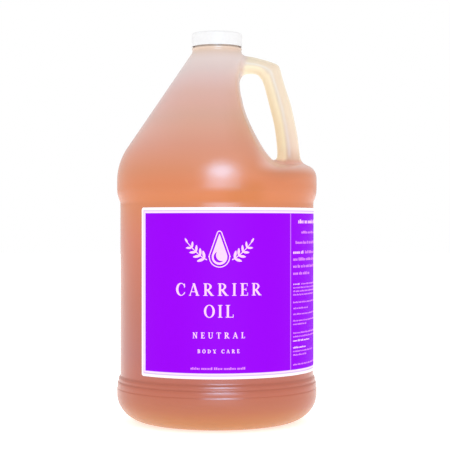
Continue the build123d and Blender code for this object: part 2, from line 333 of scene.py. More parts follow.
def settle(verts, faces, offset, rounds, top=None, cut_z=None):
    """Evens out a net's vertices and puts them on the surface exactly."""
    n = len(verts)
    pairs, count = neighbours(n, faces)
    edge = np.zeros(n, bool)
    edge[pairs[count == 1].ravel()] = True
    deg = np.bincount(pairs.ravel(), minlength=n).astype(float)
    flat = np.zeros(n, bool)
    if cut_z is not None:
        flat = verts[:, 2] > cut_z - 0.9
    for i in range(rounds + 1):
        if i:
            mean = np.zeros_like(verts)
            for k in range(3):
                mean[:, k] = (np.bincount(pairs[:, 0], verts[pairs[:, 1], k], n) + np.bincount(pairs[:, 1], verts[pairs[:, 0], k], n)) / np.maximum(deg, 1)
            _, g = field(verts)
            g /= np.maximum(np.linalg.norm(g, axis=1), 1e-6)[:, None]
            move = (mean - verts) * 0.5
            move -= (move * g).sum(1)[:, None] * g
            move[edge | flat] = 0
            verts = verts + move
        for _ in range(2):
            v, g = field(verts)
            g2 = np.maximum((g * g).sum(1), 0.05)
            step = np.clip((v + offset) / g2, -1.2, 1.2)[:, None] * g
            step[flat] = 0
            verts = verts - step
    if cut_z is not None:
        verts[flat, 2] = np.minimum(verts[flat, 2], cut_z)
    return verts


def top_loop(verts, faces):
    """The vertices of a net's open top edge, in order of angle."""
    pairs, count = neighbours(len(verts), faces)
    rim = pairs[count == 1]
    nxt = {}
    for a, b in rim:
        nxt.setdefault(int(a), []).append(int(b))
        nxt.setdefault(int(b), []).append(int(a))
    start = int(rim[0, 0])
    loop, prev, cur = [start], None, start
    while True:
        options = [v for v in nxt[cur] if v != prev]
        prev, cur = cur, options[0]
        if cur == start:
            break
        loop.append(cur)
    a = np.unwrap(np.arctan2(verts[loop, 1], verts[loop, 0]))
    if a[-1] < a[0]:
        loop = loop[::-1]
    return loop


def zip_rings(verts, low, high, inward):
    """Triangles between two rings of vertex numbers round the axis, low below high."""
    def start_at_zero(ring):
        a = np.arctan2(verts[ring, 1], verts[ring, 0]) % (2 * math.pi)
        k = int(a.argmin())
        ring = ring[k:] + ring[:k]
        a = np.unwrap(np.arctan2(verts[ring, 1], verts[ring, 0]))
        a -= 2 * math.pi * round(a[0] / (2 * math.pi))
        return ring, list(a) + [a[0] + 2 * math.pi]
    low, la = start_at_zero(list(low))
    high, ha = start_at_zero(list(high))
    i = j = 0
    tris = []
    while i < len(low) or j < len(high):
        if j >= len(high) or (i < len(low) and la[i + 1] <= ha[j + 1]):
            t = (low[i], low[(i + 1) % len(low)], high[j % len(high)])
            i += 1
        else:
            t = (low[i % len(low)], high[(j + 1) % len(high)], high[j])
            j += 1
        tris.append(t[::-1] if inward else t)
    return tris


def ridge_height(theta_deg, z):
    """How far the neck's thread stands out at an angle and a height."""
    best = np.zeros_like(z)
    for turn in (0, -360, -720):
        th = theta_deg + turn
        t = (th + 378.0) / 378.0
        dz = np.abs(z - (293.15 + PITCH * th / 360))
        h = np.clip((1.15 - dz) / 0.7, 0, 1)
        h = h * h * (3 - 2 * h)
        ease = np.clip(np.minimum(t, 1 - t) / 0.06, 0, 1)
        ok = (t >= 0) & (t <= 1)
        best = np.maximum(best, np.where(ok, h * ease, 0))
    return best * (NECK_CREST - NECK_R)


def make_object(name, verts, faces, smooth=True):
    me = bpy.data.meshes.new(name)
    me.from_pydata((np.asarray(verts) * MM).tolist(), [], [tuple(int(i) for i in f) for f in faces])
    me.update()
    me.polygons.foreach_set("use_smooth", [smooth] * len(me.polygons))
    ob = bpy.data.objects.new(name, me)
    bpy.context.scene.collection.objects.link(ob)
    return ob


def build_jug():
    """The jug's skin: outside, neck finish, bore and inside, as one closed shell."""
    cell = 1.7
    def levels(stops):
        out = [stops[0][0]]
        for (z0, _), (z1, step) in zip(stops, stops[1:]):
            n = max(1, round((z1 - z0) / (step * 1)))
            out += list(np.linspace(z0, z1, n + 1)[1:])
        return np.array(out)
    half = math.ceil(79.5 / cell) * cell
    xs = np.arange(-half, half + cell / 2, cell) + 0.013
    ys = np.arange(-half, half + cell / 2, cell) + 0.007
    zs = levels([(-3.0, 0), (-0.9, 1.0), (2.4, 0.6), (24.6, 1.6), (36.6, 0.45), (41, 1.3), (165.5, 3.4), (178, 1.2), (282.9, 1.55)])
    v, f = surface_net(xs, ys, zs, 0.0)
    v = settle(v, f, 0.0, 4)
    cell2 = 3.3
    half = math.ceil(79 / cell2) * cell2
    xs = np.arange(-half, half + cell2 / 2, cell2) + 0.011
    ys = np.arange(-half, half + cell2 / 2, cell2) + 0.017
    zs = levels([(-1.6, 0), (6, 1.2), (24, 2.4), (37, 1.9), (165, 5.0), (180.0, 2.4), (280.6, 2.4)])
    vi, fi = surface_net(xs, ys, zs, WALL)
    vi = settle(vi, fi, WALL, 3)
    loop_out, loop_in = top_loop(v, f), top_loop(vi, fi)
    # neck, from the collar's foot over the rim and down the bore
    out = rounded([(18.87, 283.75), (18.82, 284.15), (19.25, 285.0), (19.25, 285.6), (18.9, COLLAR_TOP), (17.6, COLLAR_TOP), (NECK_R, 286.45)],
                  {1: 0.5, 2: 0.5, 3: 0.3, 4: 0.35, 5: 0.25}, 4)
    wall_z = np.linspace(286.45, 294.85, 46)[1:-1]
    rim = rounded([(NECK_R, 294.85), (NECK_R, RIM_Z), (BORE_R, RIM_Z), (BORE_R, 294.4)], {1: 0.4, 2: 0.5}, 5)
    bore = rounded([(BORE_R, 294.4), (BORE_R, 290.0), (BORE_R, 286.8), (17.7, 282.8), (18.75, 281.25)], {2: 1.5, 3: 1.5}, 4)[1:]
    prof = [tuple(p) + (0,) for p in out] + [(NECK_R, z, 1) for z in wall_z] + [tuple(p) + (0,) for p in rim] + [tuple(p) + (0,) for p in bore]
    m = 160
    th = np.arange(m) / m * 2 * math.pi
    rings = []
    for r, z, thread in prof:
        rr = np.full(m, r)
        if thread:
            rr = rr + ridge_height(np.degrees(th), np.full(m, z))
        rings.append(np.stack([rr * np.cos(th), rr * np.sin(th), np.full(m, z)], 1))
    base, base_i = 0, len(v)
    base_n = len(v) + len(vi)
    verts = np.vstack([v, vi] + rings)
    faces = [tuple(q) for q in f] + [tuple(q[::-1] + base_i) for q in fi]
    inner_from = len(f)
    inner_to = len(faces)
    for k in range(len(rings) - 1):
        a, b = base_n + k * m, base_n + (k + 1) * m
        for i in range(m):
            j = (i + 1) % m
            faces.append((a + i, a + j, b + j, b + i))
    faces += zip_rings(verts, loop_out, [base_n + i for i in range(m)], False)
    last = base_n + (len(rings) - 1) * m
    faces += zip_rings(verts, [i + base_i for i in loop_in], [last + i for i in range(m)], True)
    ob = make_object("jug_shell", verts, faces)
    thin = np.zeros(len(verts))
    sel = np.arange(len(v))
    sel = sel[(v[:, 0] > 8) & (v[:, 2] > 185)]
    a, ga = field_body(v[sel])
    b, gb = field_pocket(v[sel])
    a, _ = smax(a, ga, b, gb, blend_widths(v[sel, 2])[0])
    t = np.clip((a - 0.25) / 4.2, 0, 1)
    thin[sel] = t * t * (3 - 2 * t)
    attribute = ob.data.attributes.new("thin", "FLOAT", "POINT")
    attribute.data.foreach_set("value", thin.astype(np.float32))
    # slot 1 is the inside
    inner = np.zeros(len(faces), np.int32)
    inner[inner_from:inner_to] = 1
    ob.data.polygons.foreach_set("material_index", inner)
    return ob


def build_oil():
    cell = 2.8
    half = math.ceil(78 / cell) * cell
    xs = np.arange(-half, half + cell / 2, cell) + 0.019
    ys = np.arange(-half, half + cell / 2, cell) + 0.003
    zs = np.concatenate([np.arange(-1.2, 24, cell * 0.8), np.arange(24, 36, 1.6), np.arange(36, 165, cell * 1.5), np.arange(165, FILL_Z - 1.0, cell * 0.9), [FILL_Z - 0.5, FILL_Z - 0.001, FILL_Z + 1.5, FILL_Z + 3]])
    off = WALL + 0.25
    v, f = surface_net(xs, ys, zs, off, FILL_Z)
    v = settle(v, f, off, 2, cut_z=FILL_Z)
    return make_object("oil_charge", v, f)



# ---------------------------------------------------------------- label
R_LABEL = 74.21
SHEET, INK = 0.13, 0.035
MM_PER_DEG = math.pi / 180 * (R_LABEL + SHEET)


def wrap(u, r):
    """Points on a cylinder: u in mm from the front, increasing to the right."""
    a = np.asarray(u) / (R_LABEL + SHEET) - math.pi / 2
    return r * np.cos(a), r * np.sin(a)


def slab(name, us, zs, F, r0, r1):
    """A closed thin slab wrapped on the cylinder, wherever the 2-D field F is negative."""
    nu, nz = len(us), len(zs)
    neg = F < 0
    pts, faces, cache = [], [], {}

    def corner(i, j):
        key = (0, i, j)
        if key not in cache:
            cache[key] = len(pts)
            pts.append((us[i], zs[j]))
        return cache[key]

    def cross(i, j, i2, j2):
        if (i2, j2) < (i, j):
            i, j, i2, j2 = i2, j2, i, j
        key = (1, i, j, i2, j2)
        if key not in cache:
            t = min(max(F[i, j] / (F[i, j] - F[i2, j2]), 0.02), 0.98)
            cache[key] = len(pts)
            pts.append((us[i] + t * (us[i2] - us[i]), zs[j] + t * (zs[j2] - zs[j])))
        return cache[key]

    n = neg[:-1, :-1].astype(int) + neg[1:, :-1] + neg[1:, 1:] + neg[:-1, 1:]
    for i, j in np.argwhere(n > 0):
        c = [(i, j), (i + 1, j), (i + 1, j + 1), (i, j + 1)]
        poly = []
        for k in range(4):
            a, b = c[k], c[(k + 1) % 4]
            if neg[a]:
                poly.append(corner(*a))
            if neg[a] != neg[b]:
                poly.append(cross(*a, *b))
        if len(poly) > 2:
            faces.append(poly)
    if not faces:
        return None
    uz = np.array(pts)
    m = len(uz)
    x1, y1 = wrap(uz[:, 0], r1)
    x0, y0 = wrap(uz[:, 0], r0)
    verts = np.vstack([np.stack([x1, y1, uz[:, 1]], 1), np.stack([x0, y0, uz[:, 1]], 1)])
    edges = {(f[k], f[(k + 1) % len(f)]) for f in faces for k in range(len(f))}
    sides = [(b, a, a + m, b + m) for a, b in edges if (b, a) not in edges]
    every = faces + [[k + m for k in f[::-1]] for f in faces] + sides
    return make_object(name, verts, every, smooth=False)


def box2(x, y, x0, y0, x1, y1):
    return np.maximum(np.maximum(x0 - x, x - x1), np.maximum(y0 - y, y - y1))


def bar2(x, y, ax, ay, bx, by, w):
    l = math.hypot(bx - ax, by - ay)
    across = ((x - ax) * (by - ay) - (y - ay) * (bx - ax)) / l
    return np.maximum(np.maximum(np.abs(across) - w / 2, -y), y - 1)


def oval2(x, y, cx, cy, rx, ry):
    return (np.sqrt(((x - cx) / rx) ** 2 + ((y - cy) / ry) ** 2) - 1) * min(rx, ry)


def pen2(x, y, pts, w):
    best = np.full_like(x, 9.0)
    for (ax, ay), (bx, by) in zip(pts, pts[1:]):
        dx, dy = bx - ax, by - ay
        t = np.clip(((x - ax) * dx + (y - ay) * dy) / (dx * dx + dy * dy), 0, 1)
        best = np.minimum(best, np.hypot(x - ax - t * dx, y - ay - t * dy))
    return best - w / 2


def serif(c, x, y):
    """Field of one serif capital of height 1, with its width."""
    u = lambda *f: np.minimum.reduce(f)
    stem = box2(x, y, 0.10, 0, 0.27, 1)
    feet = u(box2(x, y, 0, 0, 0.37, 0.05), box2(x, y, 0, 0.95, 0.37, 1))
    if c == "C":
        ring = np.maximum(oval2(x, y, 0.42, 0.5, 0.42, 0.52), -oval2(x, y, 0.47, 0.5, 0.27, 0.455))
        ring = np.maximum(ring, -box2(x, y, 0.58, 0.27, 1.3, 0.73))
        return u(ring, box2(x, y, 0.70, 0.64, 0.76, 0.96)), 0.78
    if c == "O":
        return np.maximum(oval2(x, y, 0.43, 0.5, 0.43, 0.52), -oval2(x, y, 0.43, 0.5, 0.255, 0.465)), 0.86
    if c == "I":
        return u(stem, feet), 0.37
    if c == "L":
        return u(stem, feet, box2(x, y, 0.2, 0, 0.64, 0.055), box2(x, y, 0.59, 0, 0.64, 0.26)), 0.66
    if c == "E":
        return u(stem, box2(x, y, 0, 0, 0.64, 0.055), box2(x, y, 0, 0.945, 0.61, 1), box2(x, y, 0.2, 0.475, 0.5, 0.53),
                 box2(x, y, 0.56, 0.76, 0.61, 1), box2(x, y, 0.59, 0, 0.64, 0.25), box2(x, y, 0.45, 0.38, 0.5, 0.62)), 0.66
    if c == "R":
        bowl = np.maximum(oval2(x, y, 0.34, 0.735, 0.34, 0.265), -oval2(x, y, 0.32, 0.735, 0.19, 0.215))
        bowl = np.maximum(bowl, 0.2 - x)
        leg = np.maximum(bar2(x, y, 0.34, 0.5, 0.72, 0, 0.17), y - 0.5)
        return u(stem, feet, bowl, leg, box2(x, y, 0.6, 0, 0.88, 0.05)), 0.86
    if c == "A":
        thin, thick = bar2(x, y, 0.10, 0, 0.43, 1, 0.065), bar2(x, y, 0.74, 0, 0.42, 1, 0.17)
        return u(thin, thick, box2(x, y, 0.2, 0.29, 0.62, 0.345), box2(x, y, 0, 0, 0.23, 0.05), box2(x, y, 0.58, 0, 0.9, 0.05)), 0.9
    if c == "N":
        second = box2(x, y, 0.66, 0, 0.73, 1)
        return u(box2(x, y, 0.12, 0, 0.19, 1), second, bar2(x, y, 0.16, 1, 0.70, 0, 0.15), box2(x, y, 0, 0, 0.31, 0.05), box2(x, y, 0, 0.95, 0.2, 1), box2(x, y, 0.54, 0.95, 0.85, 1)), 0.86
    if c == "U":
        bowl = np.maximum(np.maximum(oval2(x, y, 0.42, 0.34, 0.32, 0.36), -oval2(x, y, 0.445, 0.36, 0.215, 0.31)), y - 0.36)
        return u(bowl, box2(x, y, 0.10, 0.34, 0.26, 1), box2(x, y, 0.66, 0.34, 0.74, 1), box2(x, y, 0, 0.95, 0.36, 1), box2(x, y, 0.55, 0.95, 0.85, 1)), 0.86
    if c == "T":
        return u(box2(x, y, 0.29, 0, 0.46, 1), box2(x, y, 0, 0.945, 0.75, 1), box2(x, y, 0, 0.76, 0.05, 1), box2(x, y, 0.70, 0.76, 0.75, 1), box2(x, y, 0.2, 0, 0.55, 0.05)), 0.76
    if c == "B":
        top = np.maximum(np.maximum(oval2(x, y, 0.34, 0.745, 0.33, 0.255), -oval2(x, y, 0.32, 0.745, 0.18, 0.205)), 0.2 - x)
        low = np.maximum(np.maximum(oval2(x, y, 0.34, 0.27, 0.38, 0.27), -oval2(x, y, 0.32, 0.27, 0.22, 0.215)), 0.2 - x)
        return u(stem, feet, top, low), 0.76
    if c == "D":
        bowl = np.maximum(oval2(x, y, 0.30, 0.5, 0.52, 0.5), -oval2(x, y, 0.28, 0.5, 0.36, 0.445))
        return u(stem, feet, np.maximum(bowl, 0.2 - x)), 0.86
    if c == "Y":
        return u(bar2(x, y, 0.14, 1, 0.44, 0.45, 0.15), bar2(x, y, 0.74, 1, 0.46, 0.45, 0.065), box2(x, y, 0.36, 0, 0.53, 0.48),
                 box2(x, y, 0.26, 0, 0.63, 0.05), box2(x, y, 0, 0.95, 0.32, 1), box2(x, y, 0.6, 0.95, 0.88, 1)), 0.88
    if c == " ":
        return np.full_like(x, 9.0), 0.3
    raise ValueError(c)


def word(name, text, u0, u1, z0, z1, step, bold=0.0):
    """Serif capitals that fill a width and a height."""
    us = np.arange(u0 - 0.6, u1 + 0.6 + step, step)
    zs = np.arange(z0 - 0.6, z1 + 0.6 + step, step)
    U, Z = np.meshgrid(us, zs, indexing="ij")
    h = z1 - z0
    empty = np.zeros((1, 1))
    widths = [serif(c, empty, empty)[1] * h for c in text]
    gap = (u1 - u0 - sum(widths)) / (len(text) - 1)
    F = np.full_like(U, 9.0)
    at = u0
    for c, w in zip(text, widths):
        F = np.minimum(F, serif(c, (U - at) / h, (Z - z0) / h)[0] * h)
        at += w + gap
    return slab(name, us, zs, F - bold, R_LABEL + SHEET - 0.01, R_LABEL + SHEET + INK)


def emblem(name, cu, cz, step):
    """An oil drop between two sprigs of leaves."""
    us = np.arange(cu - 26.5, cu + 26.5, step)
    zs = np.arange(cz - 14.5, cz + 14.5, step)
    U, Z = np.meshgrid(us, zs, indexing="ij")
    x, y = U - cu, Z - cz
    # drop: a ball and the cone that touches it, with a crescent left open
    r, c, apex = 5.6, -4.6, 12.2
    a = math.asin(r / (apex - c))
    ball = np.hypot(x, y - c) - r
    down = np.abs(x) * math.sin(a) + (apex - y) * math.cos(a)
    flank = np.where(down < 0, np.hypot(x, y - apex), np.abs(x) * math.cos(a) - (apex - y) * math.sin(a))
    cone = np.maximum(flank, c + r * math.sin(a) - y)
    drop = np.minimum(ball, cone)
    crescent = np.maximum(np.hypot(x + 0.2, y - c) - 4.0, -(np.hypot(x - 1.6, y - c - 1.2) - 4.1))
    F = np.maximum(drop, -crescent)
    ring = np.maximum(drop - 2.0, -(drop - 1.3))
    F = np.minimum(F, ring)
    # sprigs: a bowed stem with pairs of pointed leaves
    for side in (-1, 1):
        xs = x * side
        t = np.clip((xs - 9.0) / 15.5, 0, 1)
        stem = np.maximum(np.abs(y - (-6.5 + 13.5 * t ** 1.35)) - 0.42, np.maximum(9.0 - xs, xs - 24.4))
        F = np.minimum(F, stem)
        for k in range(5):
            tk = 0.10 + 0.2 * k
            bx, by = 9.0 + 15.5 * tk, -6.5 + 13.5 * tk ** 1.35
            slope = math.atan2(13.5 * 1.35 * tk ** 0.35, 15.5)
            for turn in ((0.85, -0.8) if k < 4 else (0.15,)):
                ang = slope + turn
                lx = (xs - bx) * math.cos(ang) + (y - by) * math.sin(ang)
                ly = -(xs - bx) * math.sin(ang) + (y - by) * math.cos(ang)
                length = 6.2 - 0.45 * k
                rr = length * 0.86
                off = math.sqrt(rr * rr - (length / 2) ** 2)
                leaf = np.maximum(np.hypot(lx - length / 2, ly - off) - rr, np.hypot(lx - length / 2, ly + off) - rr)
                F = np.minimum(F, leaf)
    return slab(name, us, zs, F, R_LABEL + SHEET - 0.01, R_LABEL + SHEET + INK)


def bars(name, items, step=1.5):
    """Greeked words: plain wrapped bars (u0, u1, z0, z1)."""
    verts, faces = [], []
    for u0, u1, z0, z1 in items:
        n = max(1, math.ceil((u1 - u0) / step))
        us = np.linspace(u0, u1, n + 1)
        base = len(verts)
        for r in (R_LABEL + SHEET - 0.01, R_LABEL + SHEET + INK):
            x, y = wrap(us, r)
            for z in (z0, z1):
                verts += [(x[i], y[i], z) for i in range(n + 1)]
        m = n + 1
        b0, b1, t0, t1 = base, base + m, base + 2 * m, base + 3 * m
        for i in range(n):
            faces.append((t0 + i, t0 + i + 1, t1 + i + 1, t1 + i))
            faces.append((b1 + i, b1 + i + 1, b0 + i + 1, b0 + i))
            faces.append((b0 + i, b0 + i + 1, t0 + i + 1, t0 + i))
            faces.append((t1 + i, t1 + i + 1, b1 + i + 1, b1 + i))
        faces.append((b0, t0, t1, b1))
        faces.append((b1 + n, t1 + n, t0 + n, b0 + n))
    return make_object(name, verts, faces, smooth=False)


def build_label():
    d = MM_PER_DEG
    u0, u1 = LABEL_A0 * d, LABEL_A1 * d
    us = np.concatenate([[u0 - 0.5], np.linspace(u0 + 0.0, u0 + 3, 11), np.arange(u0 + 4, u1 - 3.5, 1.0), np.linspace(u1 - 3, u1, 11), [u1 + 0.5]])
    zs = np.concatenate([[LABEL_LOW - 0.5], np.linspace(LABEL_LOW, LABEL_LOW + 3, 11), np.arange(LABEL_LOW + 8, LABEL_HIGH - 5, 5.0), np.linspace(LABEL_HIGH - 3, LABEL_HIGH, 11), [LABEL_HIGH + 0.5]])
    U, Z = np.meshgrid(us, zs, indexing="ij")
    cu, cz, r = (u0 + u1) / 2, (LABEL_LOW + LABEL_HIGH) / 2, 2.0
    du = np.maximum(np.abs(U - cu) - (u1 - u0) / 2 + r, 0)
    dz = np.maximum(np.abs(Z - cz) - (LABEL_HIGH - LABEL_LOW) / 2 + r, 0)
    F = np.hypot(du, dz) - r + 1e-4
    sheet = slab("label_sheet", us, zs, F, R_LABEL, R_LABEL + SHEET)
    fine = 0.3
    ink = [emblem("label_emblem", 1.8 * d, 131.9, fine),
           word("label_title", "CARRIER", -22.9 * d, 25.9 * d, 99.5, 108.4, fine),
           word("label_title_low", "OIL", -6.8 * d, 9.7 * d, 83.9, 92.9, fine),
           word("label_sub", "NEUTRAL", -13.2 * d, 16.1 * d, 69.0, 73.2, fine * 0.7, 0.05),
           word("label_small", "BODY CARE", -10.4 * d, 12.9 * d, 58.4, 61.0, fine * 0.6, 0.06)]
    rng = np.random.default_rng(5)
    small = []

    def greek(items, u, end, z, h, fill=1.0):
        """A line of made-up glyphs: short upright blocks grouped into words."""
        stop = u + (end - u) * fill
        while u < stop - h:
            for _ in range(int(rng.integers(2, 9))):
                w = h * float(rng.uniform(0.34, 0.62))
                if u + w > stop:
                    break
                items.append((u, u + w, z, z + h * (1.0 if rng.random() < 0.3 else 0.72)))
                u += w + 0.22 * h
            u += 0.5 * h

    greek(small, -14.4 * d, 16.9 * d, 46.5, 1.7)
    left, right = 49.3 * d, 99.0 * d
    bold = []
    greek(bold, left + 6.5, left + 50, 151.4, 2.9)
    greek(small, left + 11, left + 46, 143.9, 1.9)
    greek(small, left + 3, left + 54, 136.3, 2.1)
    greek(bold, left, left + 15, 129.0, 2.2)
    greek(small, left + 17, right, 129.0, 2.2)
    for z, fill in ((123.9, 1.0), (118.7, 1.0), (113.5, 0.42)):
        greek(small, left, right, z, 2.2, fill)
    greek(bold, left, left + 9, 106.1, 1.2)
    greek(small, left + 10.5, right, 106.1, 1.2)
    for z, fill in ((103.5, 1.0), (100.9, 1.0), (98.3, 0.6), (92.7, 1.0), (88.3, 0.35), (84.0, 0.8), (79.2, 1.0), (76.6, 0.32), (70.2, 1.0), (67.5, 1.0)):
        greek(small, left, right, z, 1.2, fill)
    greek(bold, left, left + 26, 64.4, 1.3)
    greek(bold, left, left + 19, 59.4, 1.3)
    for z, fill in ((56.7, 0.55), (54.0, 0.3), (46.9, 0.7)):
        greek(small, left, right, z, 1.2, fill)
    ink.append(bars("label_lines_bold", bold))
    fine_lines = bars("label_lines", small)
    return sheet, ink, fine_lines


# ---------------------------------------------------------------- materials
def lin(r, g, b, gain=1.0):
    """Display colour 0-255 to linear."""
    out = []
    for c in (r, g, b):
        c = c / 255
        out.append((c / 12.92 if c <= 0.04045 else ((c + 0.055) / 1.055) ** 2.4) * gain)
    return tuple(out)


class Mat:
    """Small helper for node materials."""

    def __init__(self, name):
        self.m = bpy.data.materials.new(name)
        self.m.use_nodes = True
        self.t = self.m.node_tree
        self.t.nodes.clear()
        self.out = self.n("ShaderNodeOutputMaterial")

    def n(self, kind, **props):
        node = self.t.nodes.new(kind)
        for k, v in props.items():
            setattr(node, k, v)
        return node

    def link(self, a, b):
        self.t.links.new(a, b)

    def put(self, sock, v):
        if hasattr(v, "is_output") or hasattr(v, "links"):
            self.link(v, sock)
        elif isinstance(v, (tuple, list)) and len(v) == 3 and sock.type == "RGBA":
            sock.default_value = (*v, 1)
        else:
            sock.default_value = v

    def math(self, op, a, b=None, c=None, clamp=False):
        node = self.n("ShaderNodeMath", operation=op, use_clamp=clamp)
        self.put(node.inputs[0], a)
        if b is not None:
            self.put(node.inputs[1], b)
        if c is not None:
            self.put(node.inputs[2], c)
        return node.outputs[0]

    def map(self, v, a, b, c=0.0, d=1.0, kind="SMOOTHSTEP"):
        node = self.n("ShaderNodeMapRange", interpolation_type=kind)
        self.put(node.inputs["Value"], v)
        for k, x in zip(("From Min", "From Max", "To Min", "To Max"), (a, b, c, d)):
            node.inputs[k].default_value = x
        return node.outputs["Result"]

    def mix(self, fac, a, b, mode="MIX"):
        node = self.n("ShaderNodeMix", data_type="RGBA", blend_type=mode)
        self.put(node.inputs[0], fac)
        self.put(node.inputs[6], a)
        self.put(node.inputs[7], b)
        return node.outputs[2]

    def ramp(self, v, stops):
        node = self.n("ShaderNodeValToRGB")
        r = node.color_ramp
        r.interpolation = "LINEAR"
        while len(r.elements) > 1:
            r.elements.remove(r.elements[-1])
        r.elements[0].position, r.elements[0].color = stops[0][0], (*stops[0][1], 1)
        for pos, col in stops[1:]:
            e = r.elements.new(pos)
            e.color = (*col, 1)
        self.put(node.inputs[0], v)
        return node.outputs[0]

    def noise(self, vec, scale, detail=2.0, rough=0.5):
        node = self.n("ShaderNodeTexNoise")
        self.put(node.inputs["Vector"], vec)
        node.inputs["Scale"].default_value = scale
        node.inputs["Detail"].default_value = detail
        node.inputs["Roughness"].default_value = rough
        return node.outputs[0]

    def place(self):
        """Object coordinates in mm as a vector, and its x, y and z."""
        co = self.n("ShaderNodeTexCoord").outputs["Object"]
        v = self.n("ShaderNodeVectorMath", operation="SCALE")
        self.link(co, v.inputs[0])
        v.inputs["Scale"].default_value = 1000.0
        s = self.n("ShaderNodeSeparateXYZ")
        self.link(v.outputs[0], s.inputs[0])
        return v.outputs[0], s.outputs[0], s.outputs[1], s.outputs[2]

    def bump(self, height, distance, strength=1.0):
        node = self.n("ShaderNodeBump")
        node.inputs["Strength"].default_value = strength
        node.inputs["Distance"].default_value = distance
        self.put(node.inputs["Height"], height)
        return node.outputs[0]

    def principled(self, color, rough, normal=None, **more):
        node = self.n("ShaderNodeBsdfPrincipled")
        self.put(node.inputs["Base Color"], color)
        self.put(node.inputs["Roughness"], rough)
        if normal is not None:
            self.link(normal, node.inputs["Normal"])
        for k, v in more.items():
            self.put(node.inputs[k.replace("_", " ")], v)
        return node.outputs[0]

    def clear(self, shader, tint, amount):
        """amount of the shader over a tinted clear layer."""
        tr = self.n("ShaderNodeBsdfTransparent")
        self.put(tr.inputs["Color"], tint)
        mx = self.n("ShaderNodeMixShader")
        self.put(mx.inputs[0], amount)
        self.link(tr.outputs[0], mx.inputs[1])
        self.link(shader, mx.inputs[2])
        return mx.outputs[0]

    def done(self, shader):
        self.link(shader, self.out.inputs["Surface"])
        return self.m


# Height ramp of the wall's colour: the oil's tint through the wall, deeper where more oil lies behind it. Its stops
# were matched to lit colours, so some of them hold painted shade: the deeper orange at z 165-180 on the step below the
# shoulder, and the darker yellowish band at z 279-285 under the collar.
BODY_TINT_AND_SHADE = [(0, (213, 148, 87)), (3.8, (209, 143, 86)), (15.3, (200, 120, 83)), (26.9, (199, 110, 83)), (53.9, (191, 107, 94)),
             (92.4, (199, 112, 88)), (138.6, (218, 125, 95)), (165.0, (224, 137, 90)), (168.5, (225, 134, 80)), (173.0, (226, 135, 84)), (180.0, (227, 137, 91)), (190.0, (227, 146, 107)),
             (208.0, (235, 163, 137)), (221.8, (236, 176, 154)), (231.1, (233, 182, 163)), (240.3, (237, 187, 173)), (249.6, (237, 193, 182)),
             (258.8, (239, 205, 200)), (268.0, (240, 218, 215)), (276.0, (245, 228, 225)),
             (279.5, (244, 224, 217)), (282.0, (241, 217, 203)), (284.5, (241, 214, 193)), (288.0, (249, 232, 220)), (296.0, (253, 243, 234))]


